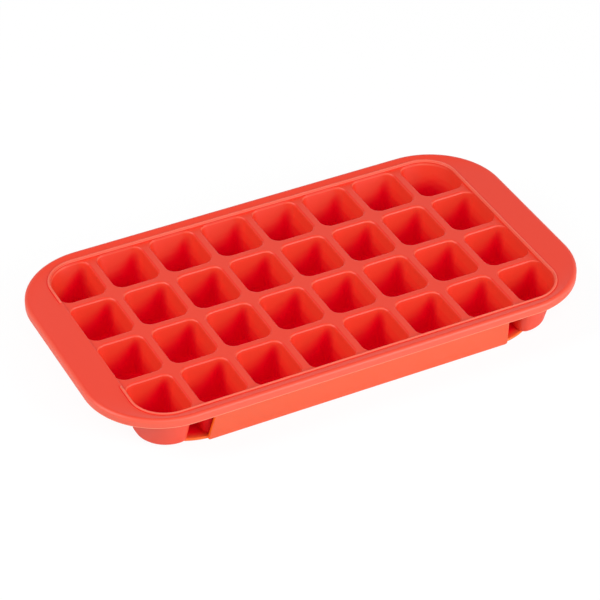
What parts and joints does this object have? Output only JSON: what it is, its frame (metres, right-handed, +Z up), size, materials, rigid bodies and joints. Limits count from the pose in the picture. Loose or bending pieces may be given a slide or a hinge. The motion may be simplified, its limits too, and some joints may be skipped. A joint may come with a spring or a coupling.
{
  "type": "silicone ice cube tray",
  "caption": "Soft silicone ice cube tray with a grid of deep tapered cells and a wide flange with a turned-down rim, standing in a rigid carrier base.",
  "frame": {"origin": "centre of the base's underside, on the table", "axes": "+X along the long side, with the gap in the raised lip at the -X end; +Z up, out of the cells' mouths"},
  "size_m": [0.3352, 0.1878, 0.0336],
  "materials": {
    "silicone": "satin",
    "base": "satin"
  },
  "bodies": {
    "root": {"ice_tray": "silicone", "base_carrier": "base"}
  },
  "joints": []
}
